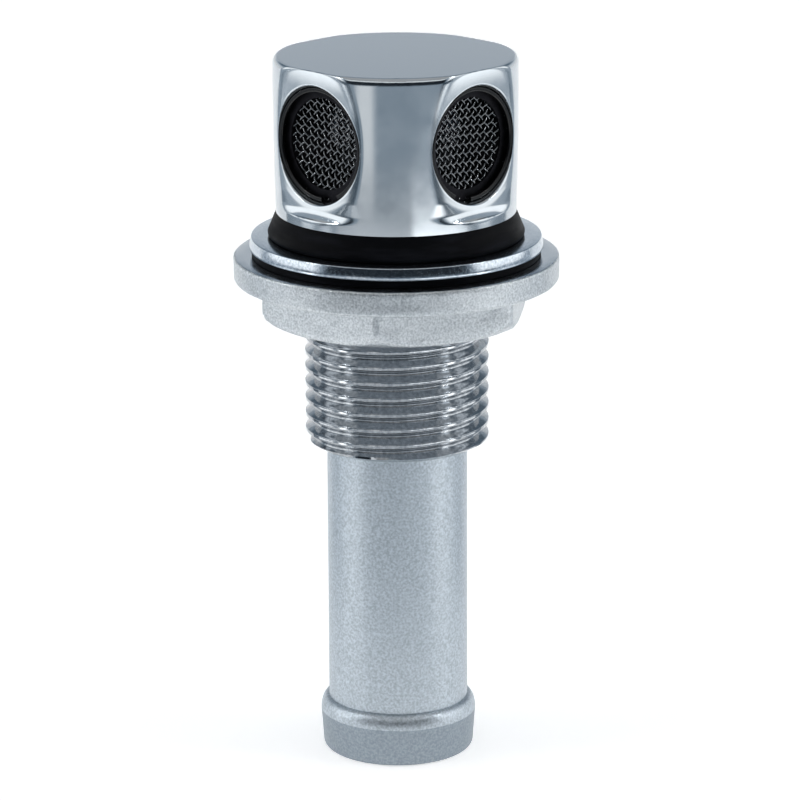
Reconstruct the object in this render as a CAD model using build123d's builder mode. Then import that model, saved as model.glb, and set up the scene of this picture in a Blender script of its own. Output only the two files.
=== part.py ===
from build123d import *
from math import sqrt
import os

# Fuel tank vent: a ported head on a threaded shank, with a hose tail below.
# Millimetres. Z is the axis. Z = 0 is the outer face of the hull that it is fitted in.
# The four ports lie on +X, +Y, -X and -Y.

# Head
head_radius = 13.8
head_foot_radius = 13.6
head_height = 17.65
head_rim_round = 0.45
head_widest_drop = 3.5

# Ports, measured along each port's own axis
port_count = 4
port_drop = 8.4
port_bore_radius = 6.45
scoop_depth = 1.63
scoop_curve = 40
scoop_foot_drop = 7.2
scoop_foot_run = 1.0
mouth_start_depth = 2.0
mouth_flare = 0.9
mouth_flare_depth = 1.4
seat_ledge = 1.3
seat_drop = 0.5
ring_thickness = 0.35
ring_gap_angle = 24
ring_gap_turn = 15
ring_clearance = 0.05
screen_clearance = 0.1
wire_layers = 2
wire_pitch = 1.0
wire_width = 0.28
wire_depth = 0.2
screen_turn = 42

# Shank, tube and hose bead
shank_radius = 10.4775
shank_length = 24.15
shank_chamfer = 0.3
tube_radius = 8.02
tail_length = 36.8
bead_radius = 8.96
bead_height = 6.2
bead_shoulder = 1.7
bead_foot_radius = 8.68
bead_foot_round = 0.7
air_bore_radius = 6.35
air_bore_chamfer = 0.35
air_bore_overrun = 3.0

# Hull gasket, between the head and the hull
gasket_height = 2.9
gasket_foot_radius = 14.58
gasket_foot_round = 0.5
gasket_clearance = 0.15

# Washer and thin gasket under the hull
washer_radius = 16.65
washer_thickness = 1.4
washer_round = 0.2
washer_clearance = 0.6
nut_gasket_radius = 16.4
nut_gasket_thickness = 0.85
nut_gasket_round = 0.15
nut_gasket_clearance = 0.4

# Nut
flange_overhang = 2.1
flange_height = 2.85
flange_top_round = 0.25
flange_foot_round = 0.5
hex_across_flats = 28.4
hex_height = 4.6
hex_corner_round = 0.8
hex_face_radius = 13.2
hex_bevel_height = 2.1
hex_root_round = 0.4
hex_turn = 7
nut_clearance = 0.05
nut_chamfer = 0.5

# The flange stands out past the hexagon's corners
hex_corner_radius = hex_across_flats / sqrt(3)
flange_radius = hex_corner_radius + flange_overhang

# Heights that follow from the stack
head_foot_z = gasket_height
head_top_z = head_foot_z + head_height
port_z = head_top_z - port_drop
shank_foot_z = -shank_length
tail_foot_z = shank_foot_z - tail_length
nut_gasket_top_z = -washer_thickness
nut_top_z = nut_gasket_top_z - nut_gasket_thickness
flange_foot_z = nut_top_z - flange_height
nut_foot_z = flange_foot_z - hex_height

# Depths in a port, from the vent's axis outwards
port_clear_radius = port_bore_radius - seat_ledge
scoop_x = head_radius - scoop_depth
mouth_start_x = head_radius - mouth_start_depth
seat_x = mouth_start_x - seat_drop
ring_back_x = seat_x + wire_layers * wire_depth


def scoop_distance(height):
    """How far from the vent's axis the scooped face lies, at a height above the port's axis."""
    return scoop_x + scoop_curve - sqrt(scoop_curve**2 - height**2)


def port_plane(index, distance):
    """A plane across one port's axis, at a distance from the vent's axis, facing outwards."""
    outward = Vector(1, 0, 0).rotate(Axis.Z, index * 360 / port_count)
    centre = outward * distance + Vector(0, 0, port_z)
    return Plane(origin=centre, x_dir=(0, 0, 1), z_dir=outward)


# Body: one hollow casting from the head's top to the hose bead
with BuildPart() as body:
    with BuildSketch(Plane.XZ) as body_profile:
        with BuildLine():
            rim_start = (head_radius - head_rim_round, head_top_z)
            rim_end = (head_radius, head_top_z - head_rim_round)
            widest = (head_radius, head_top_z - head_widest_drop)
            bead_top_z = tail_foot_z + bead_height
            bead_widest_z = bead_top_z - bead_shoulder
            foot_round_z = tail_foot_z + bead_foot_round
            Line((0, head_top_z), rim_start)
            TangentArc(rim_start, rim_end, tangent=(1, 0))
            Line(rim_end, widest)
            TangentArc(widest, (head_foot_radius, head_foot_z), tangent=(0, -1))
            Polyline(
                (head_foot_radius, head_foot_z),
                (shank_radius, head_foot_z),
                (shank_radius, shank_foot_z + shank_chamfer),
                (shank_radius - shank_chamfer, shank_foot_z),
                (tube_radius, shank_foot_z),
                (tube_radius, bead_top_z),
            )
            TangentArc((bead_radius, bead_widest_z), (tube_radius, bead_top_z), tangent=(0, 1))
            Line((bead_radius, bead_widest_z), (bead_foot_radius, foot_round_z))
            TangentArc(
                (bead_foot_radius - bead_foot_round, tail_foot_z),
                (bead_foot_radius, foot_round_z),
                tangent=(1, 0),
            )
            Polyline(
                (bead_foot_radius - bead_foot_round, tail_foot_z),
                (0, tail_foot_z),
                (0, head_top_z),
            )
        make_face()
    revolve(axis=Axis.Z)

    # The air bore runs from the hose end up into the middle of the head
    with BuildSketch(Plane.XY.offset(tail_foot_z)):
        Circle(air_bore_radius)
    extrude(amount=port_z + air_bore_overrun - tail_foot_z, mode=Mode.SUBTRACT)
    foot_edges = body.edges().filter_by(GeomType.CIRCLE).group_by(Axis.Z)[0]
    chamfer(foot_edges.sort_by(SortBy.RADIUS)[0], air_bore_chamfer)

    # Clear ways cross the head from port to port
    for index in range(port_count // 2):
        with BuildSketch(port_plane(index, 0)):
            Circle(port_clear_radius)
        extrude(amount=mouth_start_x, both=True, mode=Mode.SUBTRACT)

    # Each port has a scooped face, open at the top, and a wider bore from the screen's seat to a flared mouth
    for index in range(port_count):
        middle = port_plane(index, 0)
        upright = Plane(origin=middle.origin, x_dir=middle.x_dir, z_dir=-middle.y_dir)
        with BuildSketch(upright):
            with BuildLine():
                scoop_top = port_drop + head_rim_round
                scoop_start = (scoop_top, scoop_distance(scoop_top))
                scoop_turn = (-scoop_foot_drop, scoop_distance(scoop_foot_drop))
                scoop_end = (-scoop_foot_drop - scoop_foot_run, head_radius)
                scoop_slope = scoop_foot_drop / sqrt(scoop_curve**2 - scoop_foot_drop**2)
                ThreePointArc(scoop_start, (0, scoop_x), scoop_turn)
                TangentArc(scoop_turn, scoop_end, tangent=(-1, scoop_slope))
                Polyline(
                    scoop_end,
                    (scoop_end[0], head_radius + scoop_depth),
                    (scoop_top, head_radius + scoop_depth),
                    scoop_start,
                )
            make_face()
        extrude(amount=head_radius, both=True, mode=Mode.SUBTRACT)
        with BuildSketch(upright):
            with BuildLine():
                mouth_start = (port_bore_radius, mouth_start_x)
                mouth_end = (port_bore_radius + mouth_flare, mouth_start_x + mouth_flare_depth)
                TangentArc(mouth_start, mouth_end, tangent=(0, 1))
                Polyline(
                    mouth_end,
                    (mouth_end[0], head_radius + scoop_depth),
                    (0, head_radius + scoop_depth),
                    (0, seat_x),
                    (port_bore_radius, seat_x),
                    mouth_start,
                )
            make_face()
        revolve(axis=Axis(middle.origin, middle.z_dir), mode=Mode.SUBTRACT)
body.part.label = "vent_body"


def screen(index):
    """Two crossing layers of wire, cut to a disc that lies on the port's seat."""
    disc_radius = port_bore_radius - screen_clearance
    reach = int(disc_radius / wire_pitch)
    rows = [wire_pitch * step for step in range(-reach, reach + 1)]
    with BuildPart() as mesh:
        for layer in range(wire_layers):
            turn = Rotation(0, 0, screen_turn + 90 * layer)
            with BuildSketch(port_plane(index, seat_x + layer * wire_depth)):
                with Locations([turn * Pos(0, row) for row in rows]):
                    Rectangle(2 * disc_radius, wire_width)
                Circle(disc_radius, mode=Mode.INTERSECT)
            extrude(amount=wire_depth)
    mesh.part.label = f"port_screen_{index + 1}"
    return mesh.part


def screen_ring(index):
    """A split flat ring that holds a screen down. The splits of neighbours are turned opposite ways."""
    bottom = 180
    gap_middle = bottom - ring_gap_turn * (-1) ** index
    with BuildPart() as ring:
        with BuildSketch(port_plane(index, ring_back_x)):
            Circle(port_bore_radius - ring_clearance)
            Circle(port_clear_radius, mode=Mode.SUBTRACT)
            sides = [Vector(2 * port_bore_radius, 0).rotate(Axis.Z, gap_middle + side * ring_gap_angle / 2)
                     for side in (-1, 1)]
            Polygon((0, 0), *sides, align=None, mode=Mode.SUBTRACT)
        extrude(amount=ring_thickness)
    ring.part.label = f"screen_ring_{index + 1}"
    return ring.part


screens = [screen(index) for index in range(port_count)]
rings = [screen_ring(index) for index in range(port_count)]

# Hull gasket: a tall rubber ring, wider and rounded at its foot
with BuildPart() as gasket:
    with BuildSketch(Plane.XZ):
        with BuildLine():
            gasket_bore = shank_radius + gasket_clearance
            foot_side = (gasket_foot_radius, gasket_foot_round)
            foot_edge = (gasket_foot_radius - gasket_foot_round, 0)
            TangentArc(foot_edge, foot_side, tangent=(1, 0))
            Polyline(
                foot_side,
                (head_foot_radius, gasket_height),
                (gasket_bore, gasket_height),
                (gasket_bore, 0),
                foot_edge,
            )
        make_face()
    revolve(axis=Axis.Z)
gasket.part.label = "hull_gasket"


def flat_ring(top_z, thickness, outer_radius, inner_radius, edge_round):
    """A flat ring that hangs down from top_z, with its outer edges rounded."""
    with BuildPart() as ring:
        with BuildSketch(Plane.XY.offset(top_z - thickness)):
            Circle(outer_radius)
        extrude(amount=thickness)
        fillet(ring.edges().filter_by(GeomType.CIRCLE), edge_round)
        with BuildSketch(Plane.XY.offset(top_z - thickness)):
            Circle(inner_radius)
        extrude(amount=thickness, mode=Mode.SUBTRACT)
    return ring.part


washer = flat_ring(0, washer_thickness, washer_radius, shank_radius + washer_clearance, washer_round)
washer.label = "backing_washer"
nut_gasket = flat_ring(
    nut_gasket_top_z,
    nut_gasket_thickness,
    nut_gasket_radius,
    shank_radius + nut_gasket_clearance,
    nut_gasket_round,
)
nut_gasket.label = "nut_gasket"

# Nut: a round flange with a hexagon below it, whose corners are turned off at the foot
with BuildPart() as nut:
    with BuildSketch(Plane.XY.offset(flange_foot_z)):
        Circle(flange_radius)
    extrude(amount=flange_height)
    fillet(nut.edges().filter_by(GeomType.CIRCLE).group_by(Axis.Z)[-1], flange_top_round)
    fillet(nut.edges().filter_by(GeomType.CIRCLE).group_by(Axis.Z)[0], flange_foot_round)
    with BuildSketch(Plane.XY.offset(nut_foot_z)) as hexagon:
        RegularPolygon(hex_across_flats / 2, 6, major_radius=False, rotation=hex_turn)
        fillet(hexagon.vertices(), hex_corner_round)
    extrude(amount=hex_height)
    with BuildSketch(Plane.XZ):
        with BuildLine():
            bevel_start = (hex_face_radius, nut_foot_z)
            bevel_end = (hex_corner_radius, nut_foot_z + hex_bevel_height)
            TangentArc(bevel_start, bevel_end, tangent=(1, 0))
            Polyline(bevel_end, (hex_corner_radius, nut_foot_z), bevel_start)
        make_face()
    revolve(axis=Axis.Z, mode=Mode.SUBTRACT)
    hex_root = nut.faces().filter_by(Axis.Z).sort_by(Axis.Z)[1].edges().filter_by(GeomType.LINE)
    fillet(hex_root, hex_root_round)
    with BuildSketch(Plane.XY.offset(nut_foot_z)):
        Circle(shank_radius + nut_clearance)
    extrude(amount=nut_top_z - nut_foot_z, mode=Mode.SUBTRACT)
    bore_face = nut.faces().filter_by(GeomType.CYLINDER).sort_by(SortBy.AREA)[-1]
    chamfer(bore_face.edges().filter_by(GeomType.CIRCLE), nut_chamfer)
nut.part.label = "flange_nut"

os.makedirs("parts", exist_ok=True)
for piece in (body.part, gasket.part, washer, nut_gasket, nut.part, *screens, *rings):
    export_step(piece, f"parts/{piece.label}.step")
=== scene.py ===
# %% [markdown]
# # A fuel tank vent
# The vent is a ported metal head on a threaded shank, with a hose tail below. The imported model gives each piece
# its place and size. This script gives each piece its real surface, one step at a time.
# All lengths in Blender are metres. The sizes of this small part are easier to read in millimetres, so they are
# written in millimetres and multiplied by `MM` where a mesh is made.

# %% Load the frame
import math

import bmesh
import bpy
import numpy as np
from mathutils import Matrix, Vector


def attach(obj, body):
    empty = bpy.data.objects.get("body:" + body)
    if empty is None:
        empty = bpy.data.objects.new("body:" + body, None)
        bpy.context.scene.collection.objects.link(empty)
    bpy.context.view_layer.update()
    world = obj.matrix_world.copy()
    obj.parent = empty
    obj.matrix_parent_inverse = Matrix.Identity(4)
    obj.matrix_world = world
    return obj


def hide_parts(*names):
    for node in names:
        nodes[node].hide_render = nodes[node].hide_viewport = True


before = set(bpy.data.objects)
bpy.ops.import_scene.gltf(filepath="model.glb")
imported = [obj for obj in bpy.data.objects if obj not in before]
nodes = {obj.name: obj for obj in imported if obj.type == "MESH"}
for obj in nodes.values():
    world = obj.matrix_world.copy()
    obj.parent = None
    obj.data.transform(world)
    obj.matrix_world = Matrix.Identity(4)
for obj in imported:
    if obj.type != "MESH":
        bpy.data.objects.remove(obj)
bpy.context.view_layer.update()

MM = 0.001
print("nodes:", sorted(nodes))

# %% [markdown]
# ## The camera
# The photo was taken with a long lens, a little above the head. A long lens can be had by a far camera with a
# narrow view, and the picture is then nearly without perspective. Here the distance, the height and the view were
# solved from the rims of the head, the flange and the tail, so the camera stands at that place. Its shift holds
# the small offset of the object in the frame, and its roll is the quarter of a degree by which the photo leans.

# %% Camera
camera_distance = 493 * MM
camera_elevation = math.radians(15.39)
camera_azimuth = math.radians(45)
camera_roll = math.radians(-0.25)
target = Vector((0, 0, -15.95 * MM))
frame_pixels = 800
focal_pixels = 4321.9
target_pixel = (396.9, 369.6)

back = Vector((
    math.sin(camera_azimuth) * math.cos(camera_elevation),
    -math.cos(camera_azimuth) * math.cos(camera_elevation),
    math.sin(camera_elevation),
))
camera_data = bpy.data.cameras.new("camera")
camera = bpy.data.objects.new("camera", camera_data)
bpy.context.scene.collection.objects.link(camera)
camera.location = target + back * camera_distance
camera.rotation_mode = "QUATERNION"
facing = (-back).to_track_quat("-Z", "Y")
camera.rotation_quaternion = facing @ Matrix.Rotation(camera_roll, 3, "Z").to_quaternion()
camera_data.sensor_width = 36
camera_data.lens = focal_pixels * camera_data.sensor_width / frame_pixels
camera_data.shift_x = (frame_pixels / 2 - target_pixel[0]) / frame_pixels
camera_data.shift_y = (target_pixel[1] - frame_pixels / 2) / frame_pixels
camera_data.clip_end = 50
bpy.context.scene.camera = camera
print("lens in mm:", round(camera_data.lens, 1))

# %% [markdown]
# ## Small helpers
# Every piece below is a mesh made from rows of points. A helper turns points and faces into an object, another turns a
# row of profile points into a round body, and a third says which body the piece rides on and which nodes of the
# imported model it stands for.

# %% Mesh helpers
def mesh_object(name, points, faces, smooth_angle=30):
    """A mesh object from points in millimetres. Edges sharper than smooth_angle stay sharp."""
    data = bpy.data.meshes.new(name)
    data.from_pydata([tuple(point * MM) for point in np.asarray(points, float)], [], faces)
    build = bmesh.new()
    build.from_mesh(data)
    bmesh.ops.remove_doubles(build, verts=build.verts, dist=0.0005 * MM)
    bmesh.ops.dissolve_degenerate(build, edges=build.edges, dist=0.0002 * MM)
    bmesh.ops.recalc_face_normals(build, faces=build.faces)
    build.to_mesh(data)
    build.free()
    shade(data, smooth_angle)
    thing = bpy.data.objects.new(name, data)
    bpy.context.scene.collection.objects.link(thing)
    return thing


def shade(data, smooth_angle):
    """Smooth shading, broken at edges sharper than smooth_angle."""
    data.polygons.foreach_set("use_smooth", [True] * len(data.polygons))
    data.set_sharp_from_angle(angle=math.radians(smooth_angle))


def settle(thing, body, slot, *stands_for):
    """The piece rides on a body and stands for the nodes named. The slot is not used."""
    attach(thing, body)
    if stands_for:
        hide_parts(*stands_for)
    print(thing.name, "has", len(thing.data.polygons), "faces")


def grid_faces(columns, rows, wrap_columns=False, wrap_rows=False):
    """Quads between points that are numbered column by column."""
    faces = []
    for column in range(columns if wrap_columns else columns - 1):
        following = (column + 1) % columns
        for row in range(rows if wrap_rows else rows - 1):
            above = (row + 1) % rows
            faces.append((column * rows + row, following * rows + row, following * rows + above, column * rows + above))
    return faces


def arc(centre, radius, start, end, steps=6):
    """Points (r, z) on an arc, with angles in degrees."""
    angles = np.radians(np.linspace(start, end, steps + 1))
    return [(centre[0] + radius * math.cos(a), centre[1] + radius * math.sin(a)) for a in angles]


def turned(profile, segments):
    """Points and faces of a profile of (r, z) points turned round Z. The profile is a closed loop."""
    loop = np.array(profile)
    angles = np.linspace(0, 2 * math.pi, segments, endpoint=False)
    radius, height = loop[:, 0], loop[:, 1]
    points = [(r * math.cos(a), r * math.sin(a), z) for a in angles for r, z in zip(radius, height)]
    return points, grid_faces(segments, len(loop), wrap_columns=True, wrap_rows=True)

# %% [markdown]
# ## The finishes
# The real vent has one metal with several finishes. The head is polished, the thread is cut, the tube is blasted
# and the nut is a blasted casting. A plain grey would look like plastic, and a mirror would look like a render.
# What tells them apart is roughness and grain: each material below sets its own roughness from noise, and a bump
# made from finer noise gives the grain. All noise is read from object coordinates, in metres, so it is the same
# from every side and on every run.

# %% Material helpers
def new_material(name, color, metallic, roughness):
    """A material with a Principled shader, and its nodes, links and shader for the steps that follow."""
    material = bpy.data.materials.new(name)
    material.use_nodes = True
    tree = material.node_tree
    shader = tree.nodes["Principled BSDF"]
    shader.inputs["Base Color"].default_value = (*color, 1)
    shader.inputs["Metallic"].default_value = metallic
    shader.inputs["Roughness"].default_value = roughness
    material.diffuse_color = (*color, 1)
    return material, tree, shader


def noise(tree, scale, detail=4.0, stretch=(1, 1, 1), rough=0.5):
    """Noise in object coordinates. The scale is in waves to a metre, and stretch squeezes it along an axis."""
    place = tree.nodes.new("ShaderNodeTexCoord")
    squeeze = tree.nodes.new("ShaderNodeMapping")
    squeeze.inputs["Scale"].default_value = stretch
    texture = tree.nodes.new("ShaderNodeTexNoise")
    texture.inputs["Scale"].default_value = scale
    texture.inputs["Detail"].default_value = detail
    texture.inputs["Roughness"].default_value = rough
    tree.links.new(place.outputs["Object"], squeeze.inputs["Vector"])
    tree.links.new(squeeze.outputs["Vector"], texture.inputs["Vector"])
    return texture.outputs["Fac"]


def spread(tree, value, low, high, start=0.3, end=0.7):
    """Maps the middle of a noise's range to low and high."""
    mapper = tree.nodes.new("ShaderNodeMapRange")
    mapper.inputs["From Min"].default_value = start
    mapper.inputs["From Max"].default_value = end
    mapper.inputs["To Min"].default_value = low
    mapper.inputs["To Max"].default_value = high
    tree.links.new(value, mapper.inputs["Value"])
    return mapper.outputs["Result"]


def tint(tree, value, dark, light, start=0.35, end=0.65):
    """A colour that runs from dark to light with a noise."""
    ramp = tree.nodes.new("ShaderNodeValToRGB")
    ramp.color_ramp.elements[0].position = start
    ramp.color_ramp.elements[0].color = (*dark, 1)
    ramp.color_ramp.elements[1].position = end
    ramp.color_ramp.elements[1].color = (*light, 1)
    tree.links.new(value, ramp.inputs["Fac"])
    return ramp.outputs["Color"]


def bump(tree, value, height_mm, strength=1.0, before=None):
    """A bump of the height given, laid over an earlier one where there is one."""
    node = tree.nodes.new("ShaderNodeBump")
    node.inputs["Distance"].default_value = height_mm * MM
    node.inputs["Strength"].default_value = strength
    tree.links.new(value, node.inputs["Height"])
    if before is not None:
        tree.links.new(before, node.inputs["Normal"])
    return node.outputs["Normal"]


def metal(name, dark, light, rough_low, rough_high, blotch, grains):
    """A metal with blotches in its colour and roughness, and grains as (noise scale, height in mm, stretch)."""
    material, tree, shader = new_material(name, light, 1.0, rough_high)
    cloud = noise(tree, blotch)
    tree.links.new(tint(tree, cloud, dark, light), shader.inputs["Base Color"])
    tree.links.new(spread(tree, cloud, rough_low, rough_high), shader.inputs["Roughness"])
    normal = None
    for scale, height, stretch in grains:
        normal = bump(tree, noise(tree, scale, stretch=stretch), height, before=normal)
    if normal is not None:
        tree.links.new(normal, shader.inputs["Normal"])
    return material


# %% Metals and rubber
polished = metal("polished_metal", (0.50, 0.545, 0.58), (0.56, 0.605, 0.64), 0.12, 0.18, 300, [
    (160, 0.012, (1, 1, 0.3)),
    (700, 0.006, (1, 1, 0.08)),
])
# The flat top is satin: rougher, with its own grain. Its colour is darker and bluer than the polished side's, a painted
# shade for the dim blue wall it mirrors.
satin_top_shaded = metal("satin_top_shaded", (0.27, 0.33, 0.385), (0.33, 0.395, 0.455), 0.16, 0.22, 3600, [
    (2600, 0.004, (1, 1, 1)),
])
# A darker copy of the blasted metal for the tail's lowest part: painted shade near the floor the tail stands on.
blasted_foot_shaded = metal("blasted_foot_shaded", (0.25, 0.295, 0.335), (0.36, 0.41, 0.455), 0.38, 0.5, 3800, [
    (1700, 0.015, (1, 1, 1)),
    (4800, 0.024, (1, 1, 1)),
])
blasted = metal("blasted_metal", (0.38, 0.43, 0.47), (0.60, 0.66, 0.715), 0.36, 0.46, 3800, [
    (1700, 0.015, (1, 1, 1)),
    (4800, 0.026, (1, 1, 1)),
])
cut_thread = metal("cut_thread", (0.31, 0.335, 0.36), (0.46, 0.485, 0.51), 0.08, 0.13, 2600, [
    (3600, 0.012, (0.1, 0.1, 1)),
])
cast_nut = metal("cast_nut", (0.42, 0.455, 0.48), (0.73, 0.765, 0.79), 0.34, 0.46, 4400, [
    (1900, 0.025, (1, 1, 1)),
    (4800, 0.04, (1, 1, 1)),
])
nut_seat = metal("nut_seat", (0.50, 0.54, 0.58), (0.58, 0.62, 0.66), 0.16, 0.24, 500, [
    (1200, 0.004, (1, 1, 1)),
])
washer_steel = metal("washer_steel", (0.42, 0.48, 0.54), (0.60, 0.66, 0.72), 0.14, 0.22, 3600, [
    (900, 0.006, (1, 1, 0.2)),
    (3600, 0.006, (1, 1, 1)),
])
# The wires are much darker than bare steel: painted shade for the port's dark recess, so only the strong lamps light
# them.
wire_steel_shaded = metal("wire_steel_shaded", (0.13, 0.14, 0.15), (0.23, 0.24, 0.25), 0.08, 0.12, 1500, [])
# The inside is rough, as an unpolished casting is, and nearly black: painted shade for the dark hollow behind the
# screens.
inside_painted_shade = metal("inside_painted_shade", (0.01, 0.01, 0.012), (0.02, 0.02, 0.024), 0.45, 0.6, 700, [
    (1500, 0.01, (1, 1, 1)),
])


def painted_shade_black(name, color, roughness, specular):
    """A plain dark material that hardly shines, used as painted shade."""
    material, tree, shader = new_material(name, color, 0.0, roughness)
    shader.inputs["Specular IOR Level"].default_value = specular
    tree.links.new(bump(tree, noise(tree, 1500), 0.006), shader.inputs["Normal"])
    return material


# The rings are nearly black and not metallic: painted shade for the shadowed recess round each screen, not the colour
# of the steel.
ring_steel = painted_shade_black("ring_steel", (0.003, 0.003, 0.0034), 0.18, 0.35)


def rubber(name):
    """Black moulded rubber: nearly black, with a dull sheen, fine grain and a few paler scuffs."""
    material, tree, shader = new_material(name, (0.003, 0.0034, 0.005), 0.0, 0.5)
    scuffs = noise(tree, 420, stretch=(0.3, 0.3, 1.8))
    color = tint(tree, scuffs, (0.002, 0.0024, 0.0036), (0.012, 0.013, 0.017), 0.5, 0.8)
    tree.links.new(color, shader.inputs["Base Color"])
    tree.links.new(spread(tree, scuffs, 0.42, 0.7), shader.inputs["Roughness"])
    shader.inputs["Specular IOR Level"].default_value = 0.05
    coarse = bump(tree, noise(tree, 220, stretch=(1, 1, 2)), 0.05)
    tree.links.new(bump(tree, noise(tree, 2400), 0.008, before=coarse), shader.inputs["Normal"])
    return material


black_rubber = rubber("black_rubber")
print("materials:", [material.name for material in bpy.data.materials])

# %% [markdown]
# ## The body
# The body is one casting. A turned shape covers most of it, but two things aren't round: the four flared ports
# and the thread. A boolean cut of fine round meshes leaves slivers beside each cut, and a polished surface shows
# them. So the outside is made as one skin of quads. In each quarter of the head the rows of quads start at the
# port's round edge, climb the flare, cross the crease and run out to the quarter's square border. The thread is
# made of rows that climb with the helix. All borders share the same points, so they weld into one closed skin.
# Only the hidden inside, which the ports and the bore cut through flat faces, is left to the boolean.

# %% Body sizes
segments = 192
head_radius, head_foot_radius = 13.8, 13.6
head_foot_z, head_top_z = 2.9, 20.55
rim_round, rim_drop = 0.45, 0.8
widest_z = 17.05
port_z, port_bore, port_clear = 12.15, 6.45, 5.15
seat_x, mouth_x = 11.3, 11.8
mouth_flare, mouth_flare_depth = 0.9, 1.4
scoop_x, scoop_curve = 12.17, 40
scoop_turn_v, scoop_foot_v = -7.2, -8.2
border_softness, foot_softness, mouth_softness = 0.36, 0.6, 0.10
shank_radius, shank_foot_z = 10.4775, -24.15
thread_pitch = 25.4 / 14
crest_half, crest_round, root_round = 0.16, 0.07, 0.25
flank_angle = math.radians(30)
crest_z_at_zero = -12.78
thread_chamfer = 0.55
tube_radius, tail_foot_z = 8.02, -60.95
bead_radius, bead_foot_radius, bead_foot_round = 8.96, 8.68, 0.7
bead_height, bead_shoulder = 6.2, 1.7
air_bore, bore_chamfer, bore_overrun = 6.35, 0.35, 3.0
head_side = head_top_z - rim_drop - head_foot_z
rim_length = 1.2
skin_length = head_side + rim_length


# %% The head's outline, and the ports' flares
def head_outline(w):
    """Radius and height at a length w up the head's side, which runs on round the rim."""
    w = np.asarray(w, float)
    z_side = head_foot_z + np.minimum(w, head_side)
    below = np.maximum(widest_z - z_side, 0) / (widest_z - head_foot_z)
    r_side = head_radius - (head_radius - head_foot_radius) * below**2
    turn = np.clip((w - head_side) / rim_length, 0, 1) * math.pi / 2
    r = r_side - rim_round * (1 - np.cos(turn))
    z = z_side + rim_drop * np.sin(turn)
    return r, z


def scoop_depth(v):
    """How far from the vent's axis the scooped face lies, at a height v above the port's axis."""
    v = np.asarray(v, float)
    depth = scoop_x + scoop_curve - np.sqrt(scoop_curve**2 - v**2)
    turn_x = scoop_x + scoop_curve - math.sqrt(scoop_curve**2 - scoop_turn_v**2)
    slope = scoop_turn_v / math.sqrt(scoop_curve**2 - scoop_turn_v**2)
    inward = np.array([-slope, 1]) / math.hypot(slope, 1)
    chord = np.array([scoop_foot_v - scoop_turn_v, head_radius - turn_x])
    bend = chord @ chord / (2 * chord @ inward)
    centre_v, centre_x = scoop_turn_v + bend * inward[0], turn_x + bend * inward[1]
    foot = centre_x - np.sqrt(np.maximum(bend**2 - (v - centre_v)**2, 0))
    return np.where(v < scoop_foot_v, centre_x + scoop_foot_v - v, np.where(v < scoop_turn_v, foot, depth))


mouth_bend = (mouth_flare**2 + mouth_flare_depth**2) / (2 * mouth_flare)


def mouth_depth(rho):
    """How far from the vent's axis the flared mouth lies, at a distance rho from the port's axis."""
    out = np.clip(rho - port_bore, 0, mouth_flare)
    return mouth_x + np.sqrt(mouth_bend**2 - (mouth_bend - out)**2) + 4 * np.maximum(rho - port_bore - mouth_flare, 0)


def soft_minimum(a, b, softness):
    """The smaller of two surfaces, with a rounded crease where they cross."""
    near = np.maximum(softness - np.abs(a - b), 0) / softness
    return np.minimum(a, b) - near**2 * softness / 4


# %% One quarter of the head
def quarter_border():
    """The border of a quarter, as (u, w): sideways from the port's axis, and up the head's side."""
    around = np.radians(np.linspace(-45, 45, segments // 4 + 1))
    side = np.concatenate([np.linspace(0, head_side, 35), head_side + rim_length * np.linspace(0, 1, 9)[1:]])
    foot_r, top_r = head_outline(0)[0], head_outline(skin_length)[0]
    side_u = head_outline(side)[0] * math.sin(math.pi / 4)
    border = [(foot_r * math.sin(a), 0) for a in around[:-1]]
    border += list(zip(side_u, side))[:-1]
    border += [(top_r * math.sin(a), skin_length) for a in around[:0:-1]]
    border += list(zip(-side_u, side))[:0:-1]
    return np.array(border)


def quarter(mouth_rows=9, side_rows=46):
    """Points of a quarter with its port on +X, as columns from the port's seat out to the border."""
    columns = []
    for u_end, w_end in quarter_border():
        v_end = w_end + head_foot_z - port_z
        reach = math.hypot(u_end, v_end)
        direction = np.array([u_end, v_end]) / reach

        def surface(rho):
            u, w = direction[0] * rho, direction[1] * rho + port_z - head_foot_z
            r, z = head_outline(w)
            side = np.sqrt(np.maximum(r**2 - u**2, 0))
            softness = border_softness + foot_softness * np.clip((scoop_turn_v + 1.4 - (z - port_z)) / 1.6, 0, 1)
            face = soft_minimum(side, scoop_depth(z - port_z), softness)
            return u, z, face, mouth_depth(np.hypot(u, z - port_z))

        fine = np.linspace(port_bore, reach, 900)
        u, z, face, mouth = surface(fine)
        crease = fine[np.argmax(mouth >= face)]
        last_turn = math.acos(1 - min((crease - port_bore) / mouth_bend, 1))
        rows = np.concatenate([
            port_bore + mouth_bend * (1 - np.cos(np.linspace(0, last_turn, mouth_rows + 1))),
            np.linspace(crease, reach, side_rows + 1)[1:],
        ])
        u, z, face, mouth = surface(rows)
        x = soft_minimum(face, mouth, mouth_softness)
        x[0] = mouth_x
        column = [(seat_x, direction[0] * k, port_z + direction[1] * k) for k in (0, port_clear / 2, port_bore)]
        column += list(zip(x, u, z))
        columns.append(column)
    return np.array(columns)


quarter_points = quarter()
print("a quarter has", quarter_points.shape[0], "columns of", quarter_points.shape[1], "points")


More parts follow.
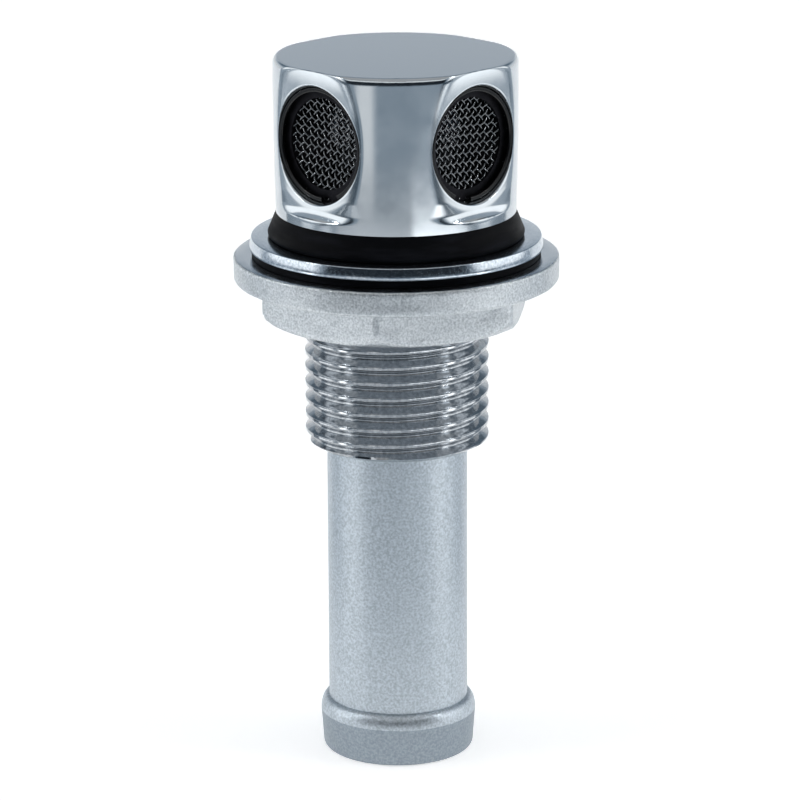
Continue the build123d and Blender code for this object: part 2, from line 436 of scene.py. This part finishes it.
# %% The thread and the turned parts
def thread_half():
    """Half a thread, from the middle of the crest to the middle of the root, as (distance, drop)."""
    turns = np.linspace(0, math.pi / 2 - flank_angle, 6)
    crest = [(crest_half + crest_round * math.sin(t), crest_round * (1 - math.cos(t))) for t in turns[::2]]
    crest.append((crest_half + crest_round * math.sin(turns[-1]), crest_round * (1 - math.cos(turns[-1]))))
    root = [(thread_pitch / 2 - root_round * math.sin(t), -root_round * (1 - math.cos(t))) for t in turns[::-1]]
    depth = crest[-1][1] + (root[0][0] - crest[-1][0]) / math.tan(flank_angle) - root[0][1]
    root = [(distance, depth + rise) for distance, rise in root]
    middle = ((crest[-1][0] + root[0][0]) / 2, (crest[-1][1] + root[0][1]) / 2)
    return np.array([(0, 0), *crest, middle, *root]), depth


half_thread, thread_depth = thread_half()
print("thread depth in mm:", round(thread_depth, 3))


def thread_radius(angle, z):
    """The thread's radius: flat crests, straight flanks and round roots, with a lead-in at the end."""
    phase = ((z - crest_z_at_zero) / thread_pitch - angle / (2 * math.pi)) % 1.0
    away = np.minimum(phase, 1 - phase) * thread_pitch
    r = shank_radius - np.interp(away, half_thread[:, 0], half_thread[:, 1])
    lead_in = shank_radius - thread_depth - 0.05 + (z - shank_foot_z) / thread_chamfer * thread_depth
    return np.minimum(r, lead_in)


def thread_skin():
    """Rows that climb with the helix. Rows past an end are pressed onto it, and weld there."""
    half = half_thread[:, 0] / thread_pitch
    corners = np.concatenate([half, 1 - half[-2:0:-1]])
    turns_below = math.ceil((crest_z_at_zero - shank_foot_z) / thread_pitch) + 1
    turns_above = math.ceil((head_foot_z - crest_z_at_zero) / thread_pitch) + 1
    rows = np.concatenate([corners + turn for turn in range(-turns_below - 1, turns_above)]) * thread_pitch
    points, angles = [], np.linspace(0, 2 * math.pi, segments, endpoint=False)
    for angle in angles:
        z = np.clip(crest_z_at_zero + rows + thread_pitch * angle / (2 * math.pi), shank_foot_z, head_foot_z)
        r = thread_radius(angle, z)
        points += list(zip(r * math.cos(angle), r * math.sin(angle), z))
    count, shift = len(rows), len(corners)
    faces = grid_faces(segments, count)
    last = (segments - 1) * count
    for row in range(count - shift - 1):
        faces.append((last + row, row + shift, row + shift + 1, last + row + 1))
    return points, faces


def disc_to_axis(radii, z):
    """Rings of points at one height, from the first radius in to the axis."""
    return [(r, z) for r in radii]


bead_top_z = tail_foot_z + bead_height
bead_step = bead_radius - tube_radius
tail_profile = [(tube_radius, shank_foot_z), (tube_radius, -36), (tube_radius, -46), (tube_radius, bead_top_z)]
for turn in np.radians(np.linspace(75, 0, 8)):
    tail_profile.append((tube_radius + bead_step * math.cos(turn), bead_top_z - bead_shoulder * (1 - math.sin(turn))))
tail_profile += arc((bead_foot_radius - bead_foot_round, tail_foot_z + bead_foot_round), bead_foot_round, 0, -90)
tail_profile += disc_to_axis((7.5, 4, 0), tail_foot_z)


def open_turned(profile, ring_of=None):
    """Points and faces of a profile that isn't a loop."""
    angles = np.linspace(0, 2 * math.pi, segments, endpoint=False)
    points = [(r * math.cos(a), r * math.sin(a), z) for a in angles for r, z in profile]
    return points, grid_faces(segments, len(profile), wrap_columns=True)


# %% [markdown]
# ### Weld the skin, then cut the inside
# The patches are put in one list, and `remove_doubles` in the mesh helper welds their shared borders. Two rings
# of flat faces, under the head and at the thread's end, join the patches whose radii differ. They take their
# inner points from the thread itself, whose radius changes round the shank.

# %% Build the body
def join_patches(patches):
    """One list of points and one of faces from several."""
    points, faces = [], []
    for patch_points, patch_faces in patches:
        start = len(points)
        points += [tuple(point) for point in patch_points]
        faces += [tuple(start + index for index in face) for face in patch_faces]
    return points, faces


def flat_ring_patch(z, outer, thread_inside):
    """A flat ring between a round edge and the thread's edge at the same height."""
    points = []
    for angle in np.linspace(0, 2 * math.pi, segments, endpoint=False):
        edge = float(thread_radius(angle, np.array(z)))
        for r in (outer, edge):
            points.append((r * math.cos(angle), r * math.sin(angle), z))
    return points, grid_faces(segments, 2, wrap_columns=True)


def top_patch(sides):
    """The flat top, in rings that shrink from the edge that the four quarters leave."""
    edge = {}
    for points, faces in sides:
        for x, y, z in points:
            if z > head_top_z - 0.0001:
                edge[round(math.atan2(y, x), 5)] = (x, y)
    ring = [edge[angle] for angle in sorted(edge)]
    scales = (1, 0.97, 0.9, 0.8, 0.7, 0.6, 0.5, 0.4, 0.3, 0.2, 0.1, 0)
    points = [(x * scale, y * scale, head_top_z) for x, y in ring for scale in scales]
    return points, grid_faces(len(ring), len(scales), wrap_columns=True)


patches = []
for quarter_turn in range(4):
    c, s = round(math.cos(quarter_turn * math.pi / 2)), round(math.sin(quarter_turn * math.pi / 2))
    x, y, z = quarter_points[..., 0], quarter_points[..., 1], quarter_points[..., 2]
    spun = np.stack([c * x - s * y, s * x + c * y, z], axis=-1).reshape(-1, 3)
    patches.append((spun, grid_faces(*quarter_points.shape[:2], wrap_columns=True)))
patches.append(top_patch(patches))
patches.append(flat_ring_patch(head_foot_z, head_foot_radius, True))
patches.append(thread_skin())
patches.append(flat_ring_patch(shank_foot_z, tube_radius, True))
patches.append(open_turned(tail_profile))
body = mesh_object("ported_body", *join_patches(patches))


def cutter(name, profile, turn):
    """A turned cutter, closed at both ends, laid along an axis by a turn matrix and set at a height."""
    points, faces = open_turned(profile)
    thing = mesh_object(name, points, faces)
    thing.data.transform(turn)
    return thing


def cut_away(thing, tool):
    """Cuts a closed tool out of a closed piece, and removes the tool."""
    step = thing.modifiers.new("cut", "BOOLEAN")
    step.operation, step.solver, step.object = "DIFFERENCE", "EXACT", tool
    depsgraph = bpy.context.evaluated_depsgraph_get()
    data = bpy.data.meshes.new_from_object(thing.evaluated_get(depsgraph))
    thing.modifiers.clear()
    thing.data = data
    bpy.data.objects.remove(tool)


port_height = Matrix.Translation((0, 0, port_z * MM))
tunnel_end = mouth_x - 0.1
tunnel = [(0, -tunnel_end), (port_clear, -tunnel_end), (port_clear, tunnel_end), (0, tunnel_end)]
bore = [
    (0, tail_foot_z - 1), (air_bore + bore_chamfer + 1, tail_foot_z - 1), (air_bore, tail_foot_z + bore_chamfer),
    (air_bore, port_z + bore_overrun), (0, port_z + bore_overrun),
]
cut_away(body, cutter("bore_cut", bore, Matrix.Identity(4)))
for axis in ("X", "Y"):
    cut_away(body, cutter("port_cut", tunnel, port_height @ Matrix.Rotation(math.pi / 2, 4, axis)))
shade(body.data, 30)
for face in body.data.polygons:
    if shank_foot_z < face.center.z / MM < shank_foot_z + thread_chamfer + 0.1:
        face.use_smooth = False
print("body faces:", len(body.data.polygons))


# %% [markdown]
# ### The body's finishes, by place
# One casting carries four finishes, so each face gets its material from where it lies: inside, polished head, cut
# thread or blasted tail. The inside is nearly black, as painted shade. The flat top has a darker satin colour with
# painted shade. The tail's lowest part is a darker copy of the blast, painted shade near the floor. The border between
# two finishes falls on an edge of the shape, as on the real part.

# %% Finish the body
def finish_of(centre):
    """The number of the finish for a face, from its centre in metres."""
    x, y, z = (value / MM for value in centre)
    from_axis = math.hypot(x, y)
    across, outward = sorted((abs(x), abs(y)))
    in_port = math.hypot(across, z - port_z) < port_bore + 0.004 and outward < mouth_x + 0.01
    in_bore = from_axis < air_bore + 0.01 and tail_foot_z + bore_chamfer < z < head_top_z - 0.5
    # The inside takes the nearly black painted shade.
    if in_bore or (in_port and from_axis < head_radius - 0.5):
        return 3
    # The flat top takes the satin finish with its painted shade.
    if z > head_top_z - 0.001:
        return 4
    if z >= head_foot_z - 0.01:
        return 0
    if z > shank_foot_z + 0.001:
        return 1
    # The last 4.5 mm above the tail's foot take the darker copy of the blast, painted shade.
    return 2 if z > tail_foot_z + 4.5 else 5


for finish in (polished, cut_thread, blasted, inside_painted_shade, satin_top_shaded, blasted_foot_shaded):
    body.data.materials.append(finish)
for face in body.data.polygons:
    face.material_index = finish_of(face.center)
settle(body, "vent", "cast_metal", "vent_body")

# %% [markdown]
# ## The wire screens
# Each port is closed by a fine woven screen. In the photo the light comes back from single wires, so the wires are
# real: round, and woven over and under each other. Each wire is a tube that follows a wave. Where two wires cross,
# one is at the top of its wave and the other at the bottom. The whole screen is dished inwards a little, as a
# punched disc of mesh is when it is pressed home, and that is what gives the port its bright and dark halves.

# %% Screens
screen_pitch = 0.72
wire_radius = 0.105
screen_radius = 6.3
screen_dish = 0.75
screen_front_x = 11.15
screen_turn = math.radians(42)
wire_sides = 6
points_per_crossing = 4


def tube_along(path, radius, sides):
    """Points and faces of a closed tube of the radius given along a path."""
    path = np.array(path)
    along = np.gradient(path, axis=0)
    along /= np.linalg.norm(along, axis=1)[:, None]
    up = np.array([1.0, 0, 0])
    across = np.cross(along, up)
    across /= np.linalg.norm(across, axis=1)[:, None]
    normal = np.cross(across, along)
    turns = np.linspace(0, 2 * math.pi, sides, endpoint=False)
    rings = [path + radius * (math.cos(t) * across + math.sin(t) * normal) for t in turns]
    points = np.stack(rings, axis=1).reshape(-1, 3)
    last = (len(path) - 1) * sides
    faces = grid_faces(len(path), sides, wrap_rows=True)
    faces += [tuple(range(sides)), tuple(range(last + sides - 1, last - 1, -1))]
    return points, faces


def wire(offset, lengthwise, parity):
    """The path of one wire on the screen of the +X port."""
    reach = math.sqrt(screen_radius**2 - offset**2)
    steps = max(int(2 * reach / screen_pitch * points_per_crossing), 4)
    path = []
    for s in np.linspace(-reach, reach, steps + 1):
        wave = math.cos(math.pi * (s / screen_pitch + parity)) * (wire_radius * 1.02)
        a, b = (s, offset) if lengthwise else (offset, s)
        y = a * math.cos(screen_turn) - b * math.sin(screen_turn)
        z = a * math.sin(screen_turn) + b * math.cos(screen_turn)
        dish = screen_dish * (1 - (a * a + b * b) / screen_radius**2)
        path.append((screen_front_x - dish + wave, y, port_z + z))
    return path


def woven_screen(name):
    """All wires of the +X screen as one mesh."""
    count = int(screen_radius / screen_pitch)
    tubes = []
    for number in range(-count, count + 1):
        offset = number * screen_pitch
        if abs(offset) < screen_radius - 0.1:
            tubes.append(tube_along(wire(offset, True, number), wire_radius, wire_sides))
            tubes.append(tube_along(wire(offset, False, number + 1), wire_radius, wire_sides))
    thing = mesh_object(name, *join_patches(tubes), smooth_angle=80)
    thing.data.materials.append(wire_steel_shaded)
    return thing


def port_turn(index):
    """The turn that carries the +X port onto another."""
    return Matrix.Rotation(index * math.pi / 2, 4, "Z")


for index in range(4):
    screen = woven_screen(f"woven_screen_{index + 1}")
    screen.data.transform(port_turn(index))
    settle(screen, "vent", "screen_wire", f"port_screen_{index + 1}")

# %% [markdown]
# ## The rings that hold the screens
# A split ring of flat wire sits in front of each screen, sprung against the port's wall. Its rounded edge catches a
# thin line of light round the dark port, so the section has real round corners. The ring is coloured nearly black, as
# painted shade for the dark recess it sits in.

# %% Rings
ring_outer = port_bore - 0.05
ring_inner = port_clear + 0.75
ring_back_x, ring_front_x = 11.7, 12.05
ring_edge = 0.14
ring_gap = math.radians(24)
ring_gap_at = [0, 0, 0, 0]
ring_segments = 96


def ring_section():
    """The ring's section as (radius, x): a strip with round corners."""
    x_mid = (ring_back_x + ring_front_x) / 2
    section = []
    corners = (
        (ring_outer - ring_edge, ring_front_x - ring_edge, 0), (ring_inner + ring_edge, ring_front_x - ring_edge, 90),
        (ring_inner + ring_edge, ring_back_x + ring_edge, 180), (ring_outer - ring_edge, ring_back_x + ring_edge, 270),
    )
    for r, x, start in corners:
        section += arc((r, x), ring_edge, start, start + 90, 4)
    return section


def ring_gap_middle(node, index):
    """The direction of the split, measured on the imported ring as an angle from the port's own sideways axis."""
    matrix = port_turn(index).inverted() @ node.matrix_world
    places = [matrix @ vertex.co for vertex in node.data.vertices]
    angles = sorted(math.atan2(place.z - port_z * MM, place.y) for place in places)
    angles.append(angles[0] + 2 * math.pi)
    width, middle = max((b - a, (a + b) / 2) for a, b in zip(angles, angles[1:]))
    return middle


def split_ring(name, middle):
    """A ring with a gap, for the +X port. Its ends are closed."""
    section = ring_section()
    points = []
    for a in np.linspace(middle + ring_gap / 2, middle + 2 * math.pi - ring_gap / 2, ring_segments + 1):
        points += [(x, r * math.cos(a), port_z + r * math.sin(a)) for r, x in section]
    count = len(section)
    last = ring_segments * count
    faces = grid_faces(ring_segments + 1, count, wrap_rows=True)
    faces += [tuple(range(count)), tuple(range(last + count - 1, last - 1, -1))]
    thing = mesh_object(name, points, faces)
    thing.data.materials.append(ring_steel)
    return thing


for index in range(4):
    node_name = f"screen_ring_{index + 1}"
    middle = ring_gap_middle(nodes[node_name], index)
    print(node_name, "gap at", round(math.degrees(middle), 1))
    ring = split_ring(f"split_ring_{index + 1}", middle)
    ring.data.transform(port_turn(index))
    settle(ring, "vent", "ring_steel", node_name)

# %% [markdown]
# ## The gaskets and the washer
# A tall rubber ring seals the head to the tank's skin. Below the skin sit a steel washer and a thin rubber one.
# All three are turned shapes with rounded edges. Moulded rubber is never quite round, so both rubber rings get a
# slow, shallow wave in their outer edge, always inwards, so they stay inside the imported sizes.

# %% Gaskets and washer
def round_corner(corner, radius, start, end, steps=6):
    """An arc that rounds a square corner at (r, z). start and end are its angles in degrees."""
    sign_r = 1 if min(start, end) >= -90 and max(start, end) <= 90 else -1
    sign_z = 1 if max(start, end) > 0 else -1
    centre = (corner[0] - sign_r * radius, corner[1] - sign_z * radius)
    return arc(centre, radius, start, end, steps)


def flat_washer(inner, outer, foot, top, outer_round, inner_round):
    """The closed profile of a washer with round edges."""
    profile = round_corner((outer, foot), outer_round, -90, 0)
    profile += round_corner((outer, top), outer_round, 0, 90)
    profile += [(outer - (outer - inner) * part, top) for part in (0.3, 0.5, 0.7)]
    profile += round_corner((inner, top), inner_round, 90, 180, 3)
    profile += round_corner((inner, foot), inner_round, -180, -90, 3)
    profile += [(outer - (outer - inner) * part, foot) for part in (0.7, 0.5, 0.3)]
    return profile


def wavy(points, depth, seed):
    """Draws points inwards by a slow wave round Z, never outwards."""
    rng = np.random.default_rng(seed)
    phases, parts = rng.uniform(0, 2 * math.pi, 5), rng.uniform(0.3, 1, 5)
    waved = []
    for x, y, z in points:
        angle = math.atan2(y, x)
        wave = sum(part * math.sin((k + 2) * angle + phase) for k, (part, phase) in enumerate(zip(parts, phases)))
        shrink = 1 - depth * (1 + wave / parts.sum()) / 2 / math.hypot(x, y)
        waved.append((x * shrink, y * shrink, z))
    return waved


gasket_top = head_foot_z
gasket_inner, gasket_foot_radius, gasket_foot_round = shank_radius + 0.15, 14.58, 0.5
gasket_profile = round_corner((gasket_foot_radius, 0), gasket_foot_round, -90, 0)
for part in (0.2, 0.4, 0.6, 0.8, 0.96):
    z = gasket_foot_round + (gasket_top - gasket_foot_round) * part
    gasket_profile.append((gasket_foot_radius - (gasket_foot_radius - head_foot_radius) * part, z))
gasket_profile += [(head_foot_radius - 0.12, gasket_top), (12.6, gasket_top), (11.6, gasket_top)]
gasket_profile += [(gasket_inner, gasket_top), (gasket_inner, gasket_top / 2), (gasket_inner, 0)]
gasket_profile += [(11.6, 0), (12.9, 0)]
points, faces = turned(gasket_profile, segments)
gasket = mesh_object("tall_gasket", wavy(points, 0.06, 3), faces)
gasket.data.materials.append(black_rubber)
settle(gasket, "vent", "black_rubber", "hull_gasket")

washer_inner, washer_outer, washer_foot = shank_radius + 0.6, 16.65, -1.4
washer_profile = round_corner((washer_outer, washer_foot), 0.15, -90, -15, 4)
washer_profile += [(washer_outer - 0.02, -1.0), (washer_outer - 0.06, -0.7), (washer_outer - 0.13, -0.4)]
washer_profile += round_corner((washer_outer - 0.19, 0), 0.12, 12, 90, 4)
washer_profile += [(washer_outer - (washer_outer - washer_inner) * part, 0) for part in (0.3, 0.5, 0.7)]
washer_profile += round_corner((washer_inner, 0), 0.15, 90, 180, 3)
washer_profile += round_corner((washer_inner, washer_foot), 0.15, -180, -90, 3)
washer_profile += [(washer_outer - (washer_outer - washer_inner) * part, washer_foot) for part in (0.7, 0.5, 0.3)]
points, faces = turned(washer_profile, segments)
washer = mesh_object("steel_washer", points, faces)
washer.data.materials.append(washer_steel)
settle(washer, "washers", "washer_steel", "backing_washer")

points, faces = turned(flat_washer(shank_radius + 0.4, 16.4, -2.25, -1.4, 0.15, 0.1), segments)
thin_gasket = mesh_object("thin_gasket", wavy(points, 0.06, 5), faces)
thin_gasket.data.materials.append(black_rubber)
settle(thin_gasket, "washers", "black_rubber", "nut_gasket")

# %% [markdown]
# ## The flange nut
# The nut is cast and then blasted: its corners are soft, its faces aren't flat and its grain glitters. A bump can
# make the grain but not the uneven outline, so the nut is a fine grid whose points are drawn inwards by smooth
# noise. Each column of the grid runs from the bore across the flange, down the hexagon and back to the bore.

# %% Nut
nut_top_z, flange_foot_z, nut_foot_z = -2.25, -5.1, -9.7
flange_top_round, flange_foot_round = 0.25, 0.5
hex_root_round, hex_face_radius, hex_bevel_height = 0.4, 13.2, 2.1
flange_radius = 28.4 / math.sqrt(3) + 2.1
hex_half = 28.4 / 2
hex_turn = math.radians(7)
hex_corner = 1.1
hex_edge_round = 0.3
hex_corner_radius = 2 * hex_half / math.sqrt(3)
nut_bore, nut_chamfer = shank_radius + 0.05, 0.5
nut_columns = 576


def hexagon_radius(angle, half=hex_half, corner=hex_corner):
    """The radius of a hexagon with rounded corners."""
    turn = (angle - hex_turn + math.pi / 6) % (math.pi / 3) - math.pi / 6
    side = abs(turn)
    flat_from_corner = half / math.cos(math.pi / 6 - side)
    centre = (half - corner) / math.cos(math.pi / 6)
    rounded = centre * math.cos(side) + math.sqrt(max(corner**2 - (centre * math.sin(side))**2, 0))
    leaves = math.asin(min(corner / 2 / centre, 1))
    return rounded if side < leaves else flat_from_corner


def bevel_rise(r):
    """How far the turned bevel at the hexagon's foot has risen at a radius."""
    across = hex_corner_radius - hex_face_radius
    bend = (across**2 + hex_bevel_height**2) / (2 * hex_bevel_height)
    return bend - math.sqrt(bend**2 - max(r - hex_face_radius, 0)**2)


def nut_column(angle):
    """One column of the nut's closed section, as (radius, z)."""
    hexagon = hexagon_radius(angle)
    seat = nut_bore + nut_chamfer
    column = [(seat + (flange_radius - flange_top_round - seat) * part, nut_top_z) for part in (0, 0.3, 0.6, 0.85)]
    column += arc((flange_radius - flange_top_round, nut_top_z - flange_top_round), flange_top_round, 90, 0, 4)
    side = np.linspace(nut_top_z - flange_top_round, flange_foot_z + flange_foot_round, 7)[1:-1]
    column += [(flange_radius, z) for z in side]
    column += arc((flange_radius - flange_foot_round, flange_foot_z + flange_foot_round), flange_foot_round, 0, -90)
    root = (hexagon + hex_root_round, flange_foot_z - hex_root_round)
    column += [(r, flange_foot_z) for r in np.linspace(flange_radius - flange_foot_round, root[0], 6)[1:-1]]
    for turn in np.radians([90, 120, 150, 180]):
        column.append((root[0] + hex_root_round * math.cos(turn), root[1] + hex_root_round * math.sin(turn)))
    edge_z = nut_foot_z + bevel_rise(hexagon) + hex_edge_round
    column += [(hexagon, z) for z in np.linspace(root[1], edge_z, 12)[1:]]
    column.append((hexagon - hex_edge_round * 0.3, edge_z - hex_edge_round * 0.7))
    for r in np.linspace(hexagon - hex_edge_round, hex_face_radius, 5):
        column.append((r, nut_foot_z + bevel_rise(r)))
    column += [(hex_face_radius + (seat - hex_face_radius) * part, nut_foot_z) for part in (0.35, 0.7, 1)]
    column += [(nut_bore, z) for z in (nut_foot_z + nut_chamfer, -5.3, nut_top_z - nut_chamfer)]
    return column


def uneven(points, depth, scale, seed):
    """Draws points inwards by smooth noise, up to the depth given."""
    from mathutils import noise as smooth_noise
    shift = Vector((seed, 2 * seed, 3 * seed))
    drawn = []
    for x, y, z in points:
        value = smooth_noise.noise(Vector((x, y, z)) * scale + shift)
        value += 0.5 * smooth_noise.noise(Vector((x, y, z)) * scale * 2.7 + shift)
        amount = depth * min(max(0.5 + value / 2, 0), 1)
        shrink = 1 - amount / max(math.hypot(x, y), 1)
        drawn.append((x * shrink, y * shrink, z))
    return drawn


points, outer_edge = [], []
for angle in np.linspace(0, 2 * math.pi, nut_columns, endpoint=False):
    points += [(r * math.cos(angle), r * math.sin(angle), z) for r, z in nut_column(angle)]
rows = len(nut_column(0))
drawn = uneven(points, 0.10, 0.45, 4)
points = [old if math.hypot(*old[:2]) < nut_bore + 0.6 else new for old, new in zip(points, drawn)]
nut = mesh_object("cast_flange_nut", points, grid_faces(nut_columns, rows, wrap_columns=True, wrap_rows=True))
for finish in (cast_nut, nut_seat):
    nut.data.materials.append(finish)
for face in nut.data.polygons:
    face.material_index = int(face.normal.z > 0.98 and face.center.z > (nut_top_z - 0.2) * MM)
settle(nut, "nut", "nut_metal", "flange_nut")

# %% [markdown]
# ## The studio
# A shiny part shows the room round it, so most of the look comes from what stands round the part, not from the
# lamps alone. The photo was made in a white tent: white floor and walls, one soft light above and one at each
# side, and dark gaps between them that give the metal its dark streaks.

# %% Floor, backdrop and world
def plane(name, size, place, turn, material):
    """A flat stage piece of the size given in metres."""
    bpy.ops.mesh.primitive_plane_add(size=1, location=place, rotation=turn)
    thing = bpy.context.object
    thing.name = name
    thing.scale = (*size, 1)
    thing.data.materials.append(material)
    return thing


floor_material, tree, shader = new_material("floor_white", (0.9, 0.9, 0.9), 0.0, 0.9)
shader.inputs["Specular IOR Level"].default_value = 0
shader.inputs["Emission Color"].default_value = (1, 1, 1, 1)
shader.inputs["Emission Strength"].default_value = 0.52
floor_z = (tail_foot_z - 0.02) * MM
floor = plane("floor", (8, 8), (0, 0, floor_z), (0, 0, 0), floor_material)

world = bpy.data.worlds.new("studio")
bpy.context.scene.world = world
world.use_nodes = True
tree = world.node_tree
paths = tree.nodes.new("ShaderNodeLightPath")


def larger(tree, a, b):
    """The larger of two outputs."""
    node = tree.nodes.new("ShaderNodeMath")
    node.operation = "MAXIMUM"
    tree.links.new(a, node.inputs[0])
    tree.links.new(b, node.inputs[1])
    return node.outputs[0]


seen = larger(tree, paths.outputs["Is Camera Ray"], paths.outputs["Is Glossy Ray"])
seen = larger(tree, seen, paths.outputs["Is Transmission Ray"])
lit = tree.nodes["Background"]
lit.inputs["Color"].default_value = (0.95, 0.98, 1.0, 1)
lit.inputs["Strength"].default_value = 0.5
white = tree.nodes.new("ShaderNodeBackground")
white.inputs["Color"].default_value = (1, 1, 1, 1)
white.inputs["Strength"].default_value = 1.0
mix = tree.nodes.new("ShaderNodeMixShader")
tree.links.new(seen, mix.inputs["Fac"])
tree.links.new(lit.outputs[0], mix.inputs[1])
tree.links.new(white.outputs[0], mix.inputs[2])
tree.links.new(mix.outputs[0], tree.nodes["World Output"].inputs["Surface"])


# %% [markdown]
# The table and the wall round the vent are cards that glow. Only the metal sees them, as they lie outside the
# picture. How brightly each spot glows is written into the card's points as an attribute named tone, so one card
# can pass softly from dark to bright, as real walls do. A place in the metal mirrors a spot that lies twice as far
# round from the camera as the place itself does, so each streak on the vent is set by one patch in the lists.

# %% Cards round the vent
def glow(name, tone=None):
    """A plain glowing material, with one tone or with the tone that the mesh's own points give, bluer where dark."""
    material = bpy.data.materials.new(name)
    material.use_nodes = True
    tree = material.node_tree
    tree.nodes.remove(tree.nodes["Principled BSDF"])
    emission = tree.nodes.new("ShaderNodeEmission")
    emission.inputs["Color"].default_value = (1, 1, 1, 1)
    if tone is None:
        painted = tree.nodes.new("ShaderNodeAttribute")
        painted.attribute_name = "tone"
        tree.links.new(painted.outputs["Fac"], emission.inputs["Strength"])
        ramp = tint(tree, painted.outputs["Fac"], (0.5, 0.75, 1.0), (1, 1, 1), 0, 1)
        tree.links.new(ramp, emission.inputs["Color"])
    else:
        emission.inputs["Strength"].default_value = tone
    tree.links.new(emission.outputs[0], tree.nodes["Material Output"].inputs["Surface"])
    return material


def inside(value, low, high, edge):
    """1 between low and high and 0 outside, with edges as soft as given."""
    rise = np.clip((value - low) / edge + 0.5, 0, 1)
    fall = np.clip((high - value) / edge + 0.5, 0, 1)
    return rise * rise * (3 - 2 * rise) * fall * fall * (3 - 2 * fall)


def graded_card(name, azimuths, heights_or_radii, patches, edge, on_floor):
    """A card round the vent whose tone comes from patches: (from, to) in degrees, (from, to) in mm, tone."""
    grid_a, grid_b = np.meshgrid(azimuths, heights_or_radii, indexing="ij")
    tone = np.zeros(grid_a.shape)
    for (start, end), (low, high), value in patches:
        weight = inside(grid_a, start, end, 5) * inside(grid_b, low, high, edge)
        tone += (value - tone) * weight
    turns = np.radians(grid_a) + camera_azimuth
    reach = grid_b if on_floor else np.full(grid_b.shape, wall_radius)
    level = np.full(grid_b.shape, floor_z / MM + 0.3) if on_floor else grid_b
    points = np.stack([np.sin(turns) * reach, -np.cos(turns) * reach, level], axis=2).reshape(-1, 3)
    thing = mesh_object(name, points, grid_faces(*grid_a.shape))
    painted = thing.data.attributes.new("tone", "FLOAT", "POINT")
    painted.data.foreach_set("value", tone.ravel().astype(np.float32))
    thing.data.materials.append(glow(name))
    return thing


def mirrored(patches):
    """The patches given, and the same ones on the camera's other side."""
    return patches + [((-end, -start), span, value) for (start, end), span, value in patches]


wall_radius = 900
table_patches = mirrored([
    ((-9, 60), (0, 150), 0.76),
    ((57, 95), (0, 150), 1.15),
    ((95, 140), (0, 150), 0.5),
    ((-9, 60), (140, 248), 0.92),
    ((57, 90), (104, 248), 0.6),
    ((65, 75), (104, 204), 3.6),
    ((83, 140), (178, 248), 0.6),
    ((-9, 53), (242, 267), 0.02),
    ((-9, 53), (268, 296), 0.7),
    ((-9, 53), (292, 1000), 0.45),
    ((50, 83), (250, 900), 0.14),
    ((82, 140), (262, 1000), 0.56),
    ((86, 112), (118, 176), 2.0),
    ((84, 99), (246, 266), 2.2),
    ((77.5, 81), (328, 352), 7.0),
]) + [
    ((-37, -20), (268, 600), 1.05),
    ((15, 70), (176, 224), 3.2),
    ((20, 60), (228, 250), 1.1),
]
wall_patches = mirrored([
    ((-9, 200), (-200, 2000), 0.03),
    ((-9, 60), (540, 800), 1.4),
    ((58, 140), (-200, 2000), 0.55),
    ((64, 116), (-30, 440), 1.6),
    ((72, 79), (590, 680), 40.0),
])
back_patches = [
    ((100, 260), (0, 2000), 0.25),
    ((100, 260), (0, 330), 0.5),
    ((100, 260), (0, 235), 0.85),
]
front_azimuths = np.arange(-58, 59, 2)
graded_card("table_front", front_azimuths, np.geomspace(50, 900, 60), table_patches, 12, True)
for start, end, name in ((-127, -58, "left"), (58, 127, "right")):
    azimuths = np.linspace(start, end, 36)
    graded_card(f"table_{name}", azimuths, np.geomspace(66, 900, 60), table_patches, 12, True)
wall_heights = np.linspace(floor_z / MM, 900, 40)
graded_card("wall_front", np.arange(-127, 128, 2), wall_heights, wall_patches, 60, False)
graded_card("wall_back", np.arange(127, 234, 2), np.linspace(80, 900, 40), back_patches, 60, False)
ceiling = plane("ceiling", (1.9, 1.9), (0, 0, 0.9), (0, 0, 0), glow("ceiling", 0.52))

# %% [markdown]
# The vent's ports lie across from each other, so a camera could look in at the front and out at the back, and a
# white floor would shine through the screens. A small dark card lies on the floor behind the head, where the head
# itself hides it from the camera.

# %% A dark card behind the head
hidden_patch = [((170, 190), (0, 1000), 0.02)]
graded_card("hidden_card", np.linspace(176.6, 183.4, 5), np.linspace(242, 398, 5), hidden_patch, 12, True)

bpy.context.scene.view_settings.view_transform = "Standard"
